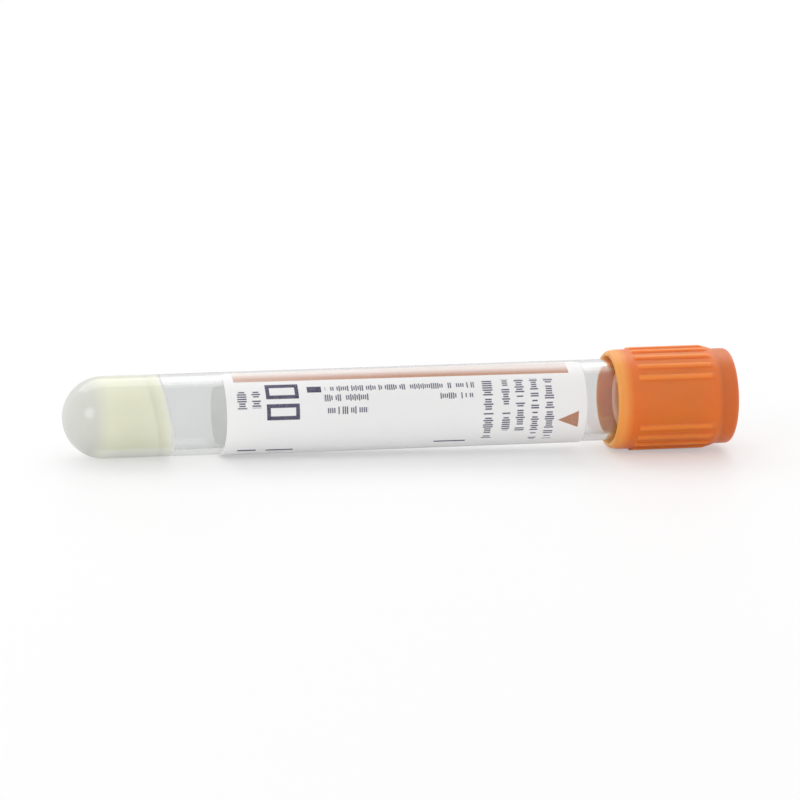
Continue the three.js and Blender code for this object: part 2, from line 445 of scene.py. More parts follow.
# The dome, rim and underside shades below are painted shade and painted light.
GEL_DOME_PAINTED_SHADE = (0.65, 0.65, 0.62, 1)
GEL_RIM_THIN_AND_PAINTED_LIGHT = (0.93, 0.93, 0.80, 1)
GEL_UNDERSIDE_PAINTED_LIGHT = (0.97, 0.97, 0.86, 1)
DOME_SHADE_END = (4.2, 6.4)
UNDERSIDE_LIGHT_START = (3.6, 4.2)
RIM_BAND = 2.6
RIM_LIGHT_STRENGTH = 0.9
GEL_PATCH = 3.0
GEL_DIMPLES = 0.05


def gel_finish(name, gloss, depth):
    """Cloudy gel with this gloss, in which light wanders this many millimetres."""
    constants = {
        "Subsurface Weight": 1.0,
        "Subsurface Radius": (1.0, 1.0, 0.8),
        "Subsurface Scale": depth * MM,
        "Specular IOR Level": gloss,
        "Roughness": 0.3,
    }
    finish, tree, shader, place = start_finish(name, constants)
    cloud = clouds(tree, place, GEL_PATCH)
    body = mixed(tree, cloud, *GEL_BODY)
    # Painted shade and reflection: the dome is painted greyer and darker.
    dome_shade = spread(tree, part_of(tree, place, "Z"), *DOME_SHADE_END, 1.0, 0.0)
    body = mixed(tree, dome_shade, body, GEL_DOME_PAINTED_SHADE)
    # Partly the thinning gel at the rim, partly painted light: the rim is painted paler.
    to_edge = part_of(tree, stored(tree, "to_edge_mm"), "X")
    rim = spread(tree, to_edge, RIM_BAND, 0.0, 0.0, RIM_LIGHT_STRENGTH)
    body = mixed(tree, rim, body, GEL_RIM_THIN_AND_PAINTED_LIGHT)
    # Painted light: the underside is painted paler, as if lit from the bright bench below.
    low = spread(tree, part_of(tree, place, "X"), *UNDERSIDE_LIGHT_START, 0.0, 1.0)
    low = sums(tree, "MULTIPLY", low, sums(tree, "SUBTRACT", 1.0, dome_shade))
    feed(tree, shader.inputs["Base Color"], mixed(tree, low, body, GEL_UNDERSIDE_PAINTED_LIGHT))
    bumped(tree, shader, cloud, GEL_DIMPLES)
    return finish


wetted_gel = gel_finish("wetted_gel", 0.0, 9.0)
gel_rim = gel_finish("gel_rim", 0.0, 1.2)
open_gel = gel_finish("open_gel", 0.5, 1.2)
print("made", wetted_gel.name, gel_rim.name, "and", open_gel.name)

# %% [markdown]
# ## The gel's shape
# Up to the round bottom's end the gel is a turned shape like the tube. Its free face is not:
# it slants, so each ring above is placed point by point. Rings run up the wall, through the
# rim, and then inwards over the free face, closest together at the wall, where the lip is
# steep.

# %% Gel
GEL_HEIGHT = 15.2
GEL_SLANT = math.radians(10)
GEL_CLIMB = 1.2
GEL_CLIMB_WIDTH = 1.8
GEL_GRIP = 0.03
GEL_FLATS = 192
WALL_SHARES = (0.35, 0.7, 1)
RIM_STEPS = 5
FACE_STEPS = 17
FACE_INSET = 0.006
FACE_SPACING = 1.7
WETTED, RIM, OPEN = 0, 1, 2


def gel_face_height(r, angle, rim_r):
    """Height of the free face: a slant, lower towards the sky, and the lip on the wall."""
    slope = r * math.cos(angle) * math.tan(GEL_SLANT)
    climb = GEL_CLIMB * math.exp(-(rim_r - r) / (GEL_CLIMB_WIDTH / 2))
    return GEL_HEIGHT + slope + climb


def gel_rings():
    """Each ring as its finish, its share of the radius, how far under the face, how far up."""
    wall = [(WETTED, 1, RIM_BAND, share) for share in WALL_SHARES]
    rim = [(RIM, 1, RIM_BAND * (1 - step / RIM_STEPS), 1) for step in range(1, RIM_STEPS + 1)]
    steps = range(1, FACE_STEPS + 1)
    return wall + rim + [(OPEN, 1 - FACE_INSET * step ** FACE_SPACING, 0, 1) for step in steps]


def make_gel():
    rim_r = BORE_R + GEL_GRIP
    floor_z = TIP_WALL - GEL_GRIP
    dome = [(0, floor_z, 0), *quarter(0, floor_z, rim_r, TUBE_R, "out", 28)]
    points, faces = turned([(r, z) for r, z, _ in dome], GEL_FLATS)
    to_edge = [(RIM_BAND, 0, 0)] * len(points)
    finish_numbers = [WETTED] * len(faces)
    ring = list(range(len(points) - GEL_FLATS, len(points)))
    for finish_number, radius_share, under, rise_share in gel_rings():
        fresh = list(range(len(points), len(points) + GEL_FLATS))
        for flat in range(GEL_FLATS):
            angle = 2 * math.pi * flat / GEL_FLATS
            r = rim_r * radius_share
            top = gel_face_height(r, angle, rim_r) - under
            z = TUBE_R + (top - TUBE_R) * rise_share
            points.append((r * math.cos(angle), r * math.sin(angle), z))
            to_edge.append((under, 0, 0))
        for flat in range(GEL_FLATS):
            following = (flat + 1) % GEL_FLATS
            faces.append((ring[flat], ring[following], fresh[following], fresh[flat]))
            finish_numbers.append(finish_number)
        ring = fresh
    points.append((0, 0, gel_face_height(0, 0, rim_r)))
    to_edge.append((0, 0, 0))
    middle = len(points) - 1
    faces += [(ring[flat], ring[(flat + 1) % GEL_FLATS], middle) for flat in range(GEL_FLATS)]
    finish_numbers += [OPEN] * GEL_FLATS
    piece = make_piece(
        "gel_plug", points, faces, "tube_body", "separator_gel",
        [wetted_gel, gel_rim, open_gel], lambda index: finish_numbers[index],
    )
    keep_coordinates(piece.data, "to_edge_mm", to_edge)


make_gel()

# %% [markdown]
# ## The label's print
# The label is coated white paper with an orange stripe, small dark print and an orange
# arrowhead. Nothing on it is readable here: rows of short dashes of two heights stand for
# words, and plain outlined boxes stand for symbols. Print has no thickness, so it belongs in
# the colour of the paper, and not in a mesh of its own. Each mark is a rectangle on the
# unrolled label. A node group holds what one kind of mark needs, so each mark is one node.

# %% Print helpers
INK_EDGE = 0.06
DASH = (0.2, 0.8)
DASH_EDGE = 0.2
GAP_UP_TO = 0.17
TALL_FROM = 0.62
SHORT_HALF = 0.34
TALL_EXTRA = 0.16
ROW_EDGE = 0.04


def between(tree, value, low, high, edge=INK_EDGE):
    """1 where the value lies between low and high, with an edge as soft as ink on paper."""
    middle = sums(tree, "MULTIPLY", sums(tree, "ADD", low, high), 0.5)
    half = sums(tree, "MULTIPLY", sums(tree, "SUBTRACT", high, low), 0.5)
    away = sums(tree, "ABSOLUTE", sums(tree, "SUBTRACT", value, middle))
    inside = sums(tree, "SUBTRACT", half, away)
    return spread(tree, inside, -edge / 2, edge / 2, 0.0, 1.0)


def group_of(name, inputs, build):
    """A node group with number inputs and one mask output."""
    group = bpy.data.node_groups.new(name, "ShaderNodeTree")
    for socket in inputs:
        group.interface.new_socket(name=socket, in_out="INPUT", socket_type="NodeSocketFloat")
    group.interface.new_socket(name="Mask", in_out="OUTPUT", socket_type="NodeSocketFloat")
    given = group.nodes.new("NodeGroupInput").outputs
    result = group.nodes.new("NodeGroupOutput")
    feed(group, result.inputs["Mask"], build(group, {name: given[name] for name in inputs}))
    return group


def block_mask(tree, given):
    first = between(tree, given["Along"], given["Along from"], given["Along to"])
    second = between(tree, given["Round"], given["Round from"], given["Round to"])
    return sums(tree, "MULTIPLY", first, second)


def row_mask(tree, given):
    """A row of dashes of two heights with gaps, as a line of small print looks from afar."""
    count = sums(tree, "DIVIDE", given["Along"], given["Pitch"])
    whole = sums(tree, "ADD", sums(tree, "FLOOR", count), given["Seed"])
    chance = add_node(tree, "ShaderNodeTexWhiteNoise", {"W": whole}, noise_dimensions="1D")
    chance = chance.outputs["Value"]
    dash = between(tree, sums(tree, "FRACT", count), *DASH, DASH_EDGE)
    word = sums(tree, "GREATER_THAN", chance, GAP_UP_TO)
    tall = sums(tree, "GREATER_THAN", chance, TALL_FROM)
    share = sums(tree, "MULTIPLY_ADD", tall, TALL_EXTRA, SHORT_HALF)
    half = sums(tree, "MULTIPLY", share, given["Height"])
    away = sums(tree, "ABSOLUTE", sums(tree, "SUBTRACT", given["Round"], given["Middle"]))
    band = spread(tree, sums(tree, "SUBTRACT", half, away), -ROW_EDGE, ROW_EDGE, 0.0, 1.0)
    span = between(tree, given["Along"], given["From"], given["To"])
    letters = sums(tree, "MULTIPLY", dash, word)
    return sums(tree, "MULTIPLY", sums(tree, "MULTIPLY", letters, band), span)


BLOCK_INPUTS = ["Along", "Round", "Along from", "Along to", "Round from", "Round to"]
ROW_INPUTS = ["Along", "Round", "From", "To", "Middle", "Height", "Pitch", "Seed"]
block_group = group_of("printed_block", BLOCK_INPUTS, block_mask)
row_group = group_of("printed_row", ROW_INPUTS, row_mask)
print("print groups:", block_group.name, row_group.name)

# %% [markdown]
# ## Where the print lies
# All places are in millimetres: along the tube from its tip, and round the label from the
# line that faces the camera, which an angle gives. A block or a box is its start and end
# along the tube and its start and end round it. A row of dashes is its start, its end, its
# middle line and its height; rows across the label run round it.

# %% Print layout
def arc(degrees):
    """Millimetres round the label from the line that faces the camera."""
    return math.radians(degrees) * LABEL_R


STRIPE = (26.6, 81.0, arc(55.5), arc(80))
ROWS_ALONG = [
    (41.0, 65.2, arc(40.0), 1.0),
    (40.7, 47.9, arc(26.5), 1.1),
    (40.7, 47.7, arc(9.0), 1.2),
    (58.9, 65.0, arc(25.0), 1.0),
]
ROWS_ACROSS = [
    (arc(-42), arc(46), 67.3, 1.6),
    (arc(-28), arc(47), 70.2, 1.3),
    (arc(-30), arc(47), 72.5, 1.5),
    (arc(-48), arc(47), 74.9, 1.3),
    (arc(-48), arc(47), 77.3, 1.5),
    (arc(14), arc(40), 27.5, 1.5),
    (arc(15), arc(41), 29.8, 1.4),
]
PITCH_ALONG, PITCH_ACROSS = 0.34, 0.38
BOXES = [(31.4, 36.7, arc(27), arc(49)), (31.4, 36.7, arc(-2), arc(20))]
BOX_LINE = 0.62
BLOCKS = [
    (38.1, 40.4, arc(35), arc(44)),
    (27.2, 30.2, arc(-57), arc(-53)),
    (31.8, 36.2, arc(-58), arc(-54)),
    (58.9, 64.0, arc(-48), arc(-45)),
]
ARROW_TIP, ARROW_BASE, ARROW_MIDDLE, ARROW_HALF = 78.7, 82.1, arc(-13.5), 1.45
print(len(ROWS_ALONG) + len(ROWS_ACROSS), "rows of print")

# %% [markdown]
# ## The two inks
# Each ink is one mask, which is 1 where the ink lies. The dark mask gathers the blocks, the
# outlined boxes and the rows. The orange mask is the arrowhead and the stripe. The stripe pales
# towards its upper edge, a little sooner towards the closure: that is a painted highlight,
# where the shine of the lamp above washes over the top of the label. It also pales towards
# the round bottom.

# %% Ink masks
SEED_STEP_ALONG, SEED_STEP_ACROSS, SEED_ACROSS = 31.0, 17.0, 300
ARROW_EDGE = 0.03
# Painted highlight: how the stripe's ink pales towards its upper edge.
STRIPE_HIGHLIGHT_FADE = (arc(61), arc(73))
STRIPE_INK_UNDER_HIGHLIGHT = 0.32
STRIPE_RUN = (27.0, 81.0)
STRIPE_HIGHLIGHT_LEAN = 0.45
STRIPE_LOW_END = (27.0, 55.0)
STRIPE_LOW_INK = 0.75


def stamped(tree, group, inputs, numbers):
    """One mark: a node group fed with its numbers."""
    stamp = add_node(tree, "ShaderNodeGroup", node_tree=group)
    for name, value in zip(inputs, numbers):
        feed(tree, stamp.inputs[name], value)
    return stamp.outputs["Mask"]


def block(tree, length, girth, *places):
    return stamped(tree, block_group, BLOCK_INPUTS, [length, girth, *places])


def dark_ink(tree, length, girth):
    marks = [block(tree, length, girth, *places) for places in BLOCKS]
    for a, b, c, d in BOXES:
        hole = (a + BOX_LINE, b - BOX_LINE, c + BOX_LINE, d - BOX_LINE)
        box = block(tree, length, girth, a, b, c, d)
        marks.append(sums(tree, "SUBTRACT", box, block(tree, length, girth, *hole)))
    for number, row in enumerate(ROWS_ALONG):
        inputs = [length, girth, *row, PITCH_ALONG, SEED_STEP_ALONG * number]
        marks.append(stamped(tree, row_group, ROW_INPUTS, inputs))
    for number, row in enumerate(ROWS_ACROSS):
        inputs = [girth, length, *row, PITCH_ACROSS, SEED_STEP_ACROSS * number + SEED_ACROSS]
        marks.append(stamped(tree, row_group, ROW_INPUTS, inputs))
    most = marks[0]
    for mark in marks[1:]:
        most = sums(tree, "MAXIMUM", most, mark)
    return most


def orange_ink(tree, length, girth):
    run = sums(tree, "SUBTRACT", length, ARROW_TIP)
    wide = sums(tree, "MULTIPLY", run, ARROW_HALF / (ARROW_BASE - ARROW_TIP))
    away = sums(tree, "ABSOLUTE", sums(tree, "SUBTRACT", girth, ARROW_MIDDLE))
    wedge = spread(tree, sums(tree, "SUBTRACT", wide, away), -ARROW_EDGE, ARROW_EDGE, 0.0, 1.0)
    arrow = sums(tree, "MULTIPLY", wedge, between(tree, length, ARROW_TIP, ARROW_BASE))
    # Painted highlight: the stripe pales towards its upper edge, sooner towards the closure.
    highlight_girth = sums(tree, "ADD", girth, spread(tree, length, *STRIPE_RUN, 0.0, STRIPE_HIGHLIGHT_LEAN))
    stripe = block(tree, length, girth, *STRIPE)
    for ink in (
        spread(tree, highlight_girth, *STRIPE_HIGHLIGHT_FADE, 1.0, STRIPE_INK_UNDER_HIGHLIGHT),
        spread(tree, length, *STRIPE_LOW_END, STRIPE_LOW_INK, 1.0),
    ):
        stripe = sums(tree, "MULTIPLY", stripe, ink)
    return sums(tree, "MAXIMUM", stripe, arrow)


print("ink masks ready")

# %% [markdown]
# ## The label's paper
# Under the ink the paper is a slightly warm white with a fibre mottle, and its coating gives
# a soft shine. A little light scatters in it, because paper is thin and pale. The glue side
# is plain white, painted whiter than the printed side as painted light, which lifts the shade
# inside the tube. The two inks mix over the paper, each worn thin in tiny spots.

# %% Label finish
PAPER_SHADE = (0.87, 0.86, 0.865, 1)
PAPER_WHITE = (0.90, 0.89, 0.895, 1)
GLUE_SIDE_PAINTED_LIGHT = (0.98, 0.98, 0.975, 1)
DARK_INK = (0.050, 0.040, 0.11, 1)
ORANGE_INK = (0.47, 0.225, 0.125, 1)
FIBRE = 0.35
FIBRE_DEPTH = 0.006
PAPER_SHINE = (0.38, 0.5)
WEAR_SPOT = 0.25
WORN_INK = 0.86


def printed_paper():
    constants = {
        "Subsurface Weight": 1.0,
        "Subsurface Radius": (1.0, 1.0, 1.0),
        "Subsurface Scale": 0.3 * MM,
        "Specular IOR Level": 0.45,
    }
    finish, tree, shader, place = start_finish("printed_paper", constants)
    label_place = stored(tree, "label_mm")
    length, girth, outside = (part_of(tree, label_place, axis) for axis in "XYZ")
    fibres = clouds(tree, place, FIBRE, detail=5.0)
    colour = mixed(tree, fibres, PAPER_SHADE, PAPER_WHITE)
    worn = spread(tree, clouds(tree, place, WEAR_SPOT), *CLOUD_RANGE, WORN_INK, 1.0)
    for mask, ink in (
        (orange_ink(tree, length, girth), ORANGE_INK),
        (dark_ink(tree, length, girth), DARK_INK),
    ):
        colour = mixed(tree, sums(tree, "MULTIPLY", mask, worn), colour, ink)
    # Painted light: the glue side is painted whiter than the paper to lift the shade inside the tube.
    feed(tree, shader.inputs["Base Color"], mixed(tree, outside, GLUE_SIDE_PAINTED_LIGHT, colour))
    feed(tree, shader.inputs["Roughness"], spread(tree, fibres, *CLOUD_RANGE, *PAPER_SHINE))
    bumped(tree, shader, fibres, FIBRE_DEPTH)
    return finish


paper_finish = printed_paper()
print("made", paper_finish.name, "with", len(paper_finish.node_tree.nodes), "nodes")

# %% [markdown]
# ## The label
# The label is one strip wrapped most of the way round, which leaves a clear window behind the
# top where the contents show. It is built flat as a grid, rolled, and given its thickness.
# Its corners are die-cut round and its long edges lift by a few hundredths of a millimetre.
# The glue side reaches a hair into the wall, because glue leaves no air there. The print is
# a touch askew on the paper, as print on a quickly cut label is. A second set of coordinates
# on its points says where each lies on the unrolled label, and on which side of the paper.

# %% Label
LABEL_TOP_EDGE = 82.5
LABEL_WRAP = 300.0
LABEL_GRIP = 0.01
EDGE_LIFT = 0.04
LIFT_WIDTH = 1.2
CORNER_CUT = 1.0
PRINT_SKEW = 0.0065
PRINT_SQUARE_AT = 96.0
ROWS, COLUMNS = 110, 240
END_CROWDING = 0.8
GLUED, PRINTED = 0, 1


def corner_bite(gap):
    """How far the rounded corner cuts in, this far from the label's end."""
    short = max(0.0, CORNER_CUT - gap)
    return CORNER_CUT - math.sqrt(max(0.0, CORNER_CUT ** 2 - short ** 2))


def label_grid():
    """The points of both sides of the paper, and where each lies on the unrolled label."""
    points, coordinates = [], []
    high, low = arc(LABEL_TOP_EDGE), arc(LABEL_TOP_EDGE - LABEL_WRAP)
    for side in (GLUED, PRINTED):
        for row in range(ROWS + 1):
            share = row / ROWS
            share -= math.sin(2 * math.pi * share) / (2 * math.pi) * END_CROWDING
            z = LABEL_START + (LABEL_END - LABEL_START) * share
            bite = corner_bite(min(z - LABEL_START, LABEL_END - z))
            askew = PRINT_SKEW * (PRINT_SQUARE_AT - z)
            for column in range(COLUMNS + 1):
                place = high - bite + (low - high + 2 * bite) * column / COLUMNS
                edge = min(high - place, place - low)
                lift = EDGE_LIFT * max(0.0, 1 - edge / LIFT_WIDTH) ** 2
                r = TUBE_R - LABEL_GRIP if side == GLUED else LABEL_R + lift
                angle = -math.pi / 2 - place / LABEL_R
                points.append((r * math.cos(angle), r * math.sin(angle), z))
                coordinates.append((z, place - askew, side))
    return points, coordinates


def label_faces():
    """Both sides of the paper and the four strips that join them round its edge."""
    line = COLUMNS + 1
    layer = (ROWS + 1) * line
    faces = []
    for row in range(ROWS):
        for column in range(COLUMNS):
            for one in (row * line + column, layer + row * line + column):
                faces.append((one, one + 1, one + line + 1, one + line))
    for row in range(ROWS):
        for one in (row * line, row * line + COLUMNS):
            faces.append((one, one + line, one + line + layer, one + layer))
    for column in range(COLUMNS):
        for one in (column, ROWS * line + column):
            faces.append((one, one + 1, one + 1 + layer, one + layer))
    return faces


points, coordinates = label_grid()
label = make_piece(
    "wrapped_label", points, label_faces(), "tube_body", "label", [paper_finish]
)
keep_coordinates(label.data, "label_mm", coordinates)

# %% [markdown]
# ## The rubber
# The stopper is moulded in soft butyl rubber, which is dull, a little powdery, and slightly
# uneven in colour: a mottle mixes two shades, and a fine grain roughens the skin. The plug,
# which lies in shade inside the skirt and the tube, is painted paler: painted light.

# %% Rubber finish
RUBBER = ((0.84, 0.36, 0.17, 1), (0.90, 0.44, 0.22, 1))
PLUG_PAINTED_LIGHT = (0.99, 0.55, 0.38, 1)
PLUG_LIGHT_END = (97.0, 99.0)
RUBBER_MOTTLE = 1.6
RUBBER_GRAIN = 0.12
RUBBER_GRAIN_DEPTH = 0.02
RUBBER_DULLNESS = (0.55, 0.75)


def rubber():
    finish, tree, shader, place = start_finish("soft_rubber", {"Specular IOR Level": 0.35})
    mottle = clouds(tree, place, RUBBER_MOTTLE, detail=6.0)
    # Painted light: the plug below the flange is painted paler against its shade.
    plug_lit = spread(tree, part_of(tree, place, "Z"), *PLUG_LIGHT_END, 1.0, 0.0)
    colour = mixed(tree, plug_lit, mixed(tree, mottle, *RUBBER), PLUG_PAINTED_LIGHT)
    feed(tree, shader.inputs["Base Color"], colour)
    feed(tree, shader.inputs["Roughness"], spread(tree, mottle, *CLOUD_RANGE, *RUBBER_DULLNESS))
    bumped(tree, shader, clouds(tree, place, RUBBER_GRAIN), RUBBER_GRAIN_DEPTH)
    return finish


rubber_finish = rubber()
print("made", rubber_finish.name)

# %% [markdown]
# ## The stopper
# A stopper has a plug that fills the bore, a flange that sits on the rim and a head with a
# well that guides the needle. The plug is hollow below, so that it gives a little, and two
# shallow grooves round it make the sealing bands. All of it is round, so one outline does it,
# from the roof of the hollow round the outside to the floor of the well.

# %% Stopper
FLANGE_Z = 100.05
FLANGE_R = 6.95
HEAD_Z = 101.95
HEAD_R = 6.2
HEAD_TOP = 106.80
WELL_R = 4.2
WELL_FLOOR = 103.2
WELL_MOUTH = 0.6
HOLLOW_R = 3.2
HOLLOW_ROOF = 96.5
HOLLOW_CROWN_R = HOLLOW_R - 0.6
HOLLOW_CROWN = 1.6
PLUG_CHAMFER_R = 0.55
PLUG_CHAMFER = 1.1
GROOVES = (93.4, 96.6)
GROOVE_DEPTH = 0.16
GROOVE_SIDE = 0.2
GROOVE_WIDTH = 0.9
GROOVE_ROUNDING = 0.1
STOPPER_FLATS = 160


def sealing_groove(z):
    floor_r = PLUG_R - GROOVE_DEPTH
    corners = [
        (PLUG_R, z),
        (floor_r, z + GROOVE_SIDE),
        (floor_r, z + GROOVE_WIDTH - GROOVE_SIDE),
        (PLUG_R, z + GROOVE_WIDTH),
    ]
    return [(*corner, GROOVE_ROUNDING) for corner in corners]


def make_stopper():
    crown_z = HOLLOW_ROOF - HOLLOW_CROWN
    outline = softened(
        [
            (0, HOLLOW_ROOF, 0),
            *quarter(0, HOLLOW_ROOF, HOLLOW_CROWN_R, crown_z, "out", 10),
            (HOLLOW_R, PLUG_END, 0.3),
            (PLUG_R - PLUG_CHAMFER_R, PLUG_END, 0.3),
            (PLUG_R, PLUG_END + PLUG_CHAMFER, 0.4),
            *[corner for z in GROOVES for corner in sealing_groove(z)],
            (PLUG_R, FLANGE_Z, 0.15),
            (FLANGE_R, FLANGE_Z, 0.2),
            (FLANGE_R, HEAD_Z, 0.2),
            (HEAD_R, HEAD_Z, 0.15),
            (HEAD_R, HEAD_TOP, 0.5),
            (WELL_R, HEAD_TOP, 0.5),
            *quarter(WELL_R, HEAD_TOP - WELL_MOUTH, 0, WELL_FLOOR, "up", 20),
        ],
        False,
    )
    points, faces = turned(outline, STOPPER_FLATS)
    make_piece(
        "soft_stopper", points, faces, "stopper_body", "rubber_stopper",
        [rubber_finish],
    )


make_stopper()

# %% [markdown]
# ## The orange plastic
# The shield is moulded in tough coloured polyethylene with a satin skin. The plastic is
# slightly see-through, so light scatters under its skin. Light and shade are also painted into
# its colour: the thin lip of the skirt is painted golden, as painted light from the left and
# through the thin wall; the thick collar is painted deeper, as painted shade where it turns
# away and the rubber behind it blocks light; the ribs' crests are painted paler, as painted
# highlights; and the inside of the skirt is painted lighter, as painted light coming through
# the wall. Painting each of these by hand would need a map, but the height and the distance
# from the axis already say where they are.

# %% Shield finish
# Lip, collar, crest and inside shades below are painted light, shade and highlights.
ORANGE = ((0.76, 0.170, 0.009, 1), (0.81, 0.200, 0.014, 1))
ORANGE_LIP_PAINTED_LIGHT = (0.90, 0.355, 0.07, 1)
ORANGE_COLLAR_PAINTED_SHADE = (0.66, 0.150, 0.012, 1)
ORANGE_CREST_PAINTED_HIGHLIGHT = (0.90, 0.270, 0.030, 1)
ORANGE_INSIDE_PAINTED_LIGHT = (0.99, 0.48, 0.18, 1)
LIP_LIGHT_END = (LIP_Z + 1.0, LIP_Z + 2.5)
CREST_HIGHLIGHT_START = BARREL_R + 0.15
CREST_HIGHLIGHT_STRENGTH = 0.8
INSIDE_LIGHT_END = (SKIRT_BORE + 0.05, SKIRT_BORE + 0.25)
INSIDE_LIGHT_TOP = (99.0, 102.0)
FLOW_PATCH = 2.5
FLOW_STRETCH = (1, 1, 0.4)
SATIN = (0.38, 0.46)
SATIN_GRAIN = 0.09
SATIN_DEPTH = 0.006


def orange_plastic():
    constants = {
        "Subsurface Weight": 1.0,
        "Subsurface Radius": (1.0, 0.45, 0.2),
        "Subsurface Scale": 2.2 * MM,
        "Specular IOR Level": 0.5,
    }
    finish, tree, shader, place = start_finish("orange_plastic", constants)
    flow = clouds(tree, place, FLOW_PATCH, stretch=FLOW_STRETCH)
    height = part_of(tree, place, "Z")
    flat = add_node(tree, "ShaderNodeVectorMath", {0: place, 1: (1, 1, 0)}, operation="MULTIPLY")
    radius = length_of(tree, flat.outputs[0])
    # Painted light: the inside of the skirt is painted lighter, for light coming through the wall.
    inside = spread(tree, radius, *INSIDE_LIGHT_END, 1.0, 0.0)
    inside = sums(tree, "MULTIPLY", inside, spread(tree, height, *INSIDE_LIGHT_TOP, 1.0, 0.0))
    colour = mixed(tree, flow, *ORANGE)
    for share, shade in (
        # Painted light: the thin lip is painted golden, for light from the left and through its wall.
        (spread(tree, height, *LIP_LIGHT_END, 1.0, 0.0), ORANGE_LIP_PAINTED_LIGHT),
        # Painted shade: the collar is painted deeper where it turns away and the rubber is behind it.
        (spread(tree, height, SHOULDER_START, SHOULDER_TOP, 0.0, 1.0), ORANGE_COLLAR_PAINTED_SHADE),
        # Painted highlight: the ribs' crests are painted paler.
        (spread(tree, radius, CREST_HIGHLIGHT_START, RIB_TIP_R, 0.0, CREST_HIGHLIGHT_STRENGTH), ORANGE_CREST_PAINTED_HIGHLIGHT),
        (inside, ORANGE_INSIDE_PAINTED_LIGHT),
    ):
        colour = mixed(tree, share, colour, shade)
    feed(tree, shader.inputs["Base Color"], colour)
    feed(tree, shader.inputs["Roughness"], spread(tree, flow, *CLOUD_RANGE, *SATIN))
    bumped(tree, shader, clouds(tree, place, SATIN_GRAIN), SATIN_DEPTH)
    return finish


shield_finish = orange_plastic()
print("made", shield_finish.name)

# %% [markdown]
# ## Ribs and guide bars
# The shield gives fingers something to turn: ribs run down the barrel, apart from two smooth
# panels on opposite sides. Separate rib meshes would have to be joined to the shell without a
# seam. Instead, a rib is a place where the outer radius is pushed out, by an amount that
# depends on how far the point is from the rib's middle line and on how far along the barrel
# it is. The guide bars inside the skirt are the same idea, pushed inward.

# %% Rib and guide shapes
RIB_PLACES = 24
RIB_WIDTH = 1.0
RIB_START = 91.8
RIB_FALL = 103.65
CREST_FULLNESS = 2.2
PANEL_HALF = 30.0
PANEL_CENTRES = (-97.5, 82.5)
GUIDE_COUNT = 8
GUIDE_WIDTH = 0.6
GUIDE_R = 6.68
GUIDE_START = 89.7
GUIDE_END = 98.6
OUTSIDE_R = SKIRT_BORE + 0.03
NEARLY = 0.01
AT_THE_BORE = 0.001


def degrees_apart(one, two):
    return abs((one - two + 180) % 360 - 180)


def rib_middle(degrees):
    """The middle line of the nearest rib, or None on a smooth panel."""
    pitch = 360 / RIB_PLACES
    nearest = (math.floor(degrees / pitch) + 0.5) * pitch
    near_panel = PANEL_HALF - NEARLY
    on_panel = any(degrees_apart(nearest, centre) < near_panel for centre in PANEL_CENTRES)
    return None if on_panel else nearest


def rib_tip_radius(z):
    """How far out the ribs' tips are at a height: a short rise, a level run, a long fall."""
    rise = BARREL_R + (z - RIB_START)
    fall = RIB_TIP_R + (COLLAR_R - RIB_TIP_R) * (z - RIB_FALL) / (SHOULDER_TOP - RIB_FALL)
    return min(RIB_TIP_R, rise, fall)


def rib_push(r, z, degrees):
    middle = rib_middle(degrees)
    if middle is None:
        return r
    offset = math.radians(degrees_apart(degrees, middle)) * BARREL_R / (RIB_WIDTH / 2)
    crest = math.sqrt(max(0.0, 1 - offset ** CREST_FULLNESS))
    return r + max(0.0, rib_tip_radius(z) - r) * crest


def guide_push(r, degrees):
    step = 360 / GUIDE_COUNT
    offset = math.radians(degrees_apart(degrees, round(degrees / step) * step)) * SKIRT_BORE
    return GUIDE_R if offset < GUIDE_WIDTH / 2 else r


def shield_push(r, z, angle):
    """The radius with ribs on the barrel and guide bars in the skirt's bore."""
    degrees = math.degrees(angle)
    if r > OUTSIDE_R and RIB_START < z < SHOULDER_TOP:
        return rib_push(r, z, degrees)
    if abs(r - SKIRT_BORE) < AT_THE_BORE and GUIDE_START <= z <= GUIDE_END:
        return guide_push(r, degrees)
    return r


print("rib tips at the barrel's middle:", rib_tip_radius(97.0), "mm")

# %% [markdown]
# ## The orange shield
# The shield keeps fingers off the rubber. Its outline is a closed loop: from the rolled lip
# up the barrel, over the shoulder and the collar to the needle opening, and back down inside
# past the chamber for the stopper's head, the snap bead that holds the stopper in, and the
# bore of the skirt. Where ribs and bars start and end, the straight runs get extra points, so
# that there are rings to push.

# %% Shield
LIP_R = 7.35
LIP_ROLL = 1.6
BARREL_START = 91.7
RIB_RISE = 0.45
RUN_IN = 0.15
SHOULDER_RUN_OUT = 0.3
BARREL_RINGS = (94.0, 103.3)
GUIDE_RINGS = (97.0, 91.0)
COLLAR_ROUNDING = 0.8
TOP_HOLE_R = 4.5
PLATE_Z = 106.85
CHAMBER_R = 6.25
SHELF_Z = 102.0
BEAD_R = 6.68
BEAD_Z = 99.3
BEAD_FACE = (0.45, 0.25)
BEAD_HEIGHT = 0.7
STEP_IN = 0.05
SHIELD_FLATS = 600


def level_run(r, start, end, count):
    """Extra points along a straight run, so that ribs and bars have rings to push."""
    return [(r, start + (end - start) * step / count, 0) for step in range(count + 1)]


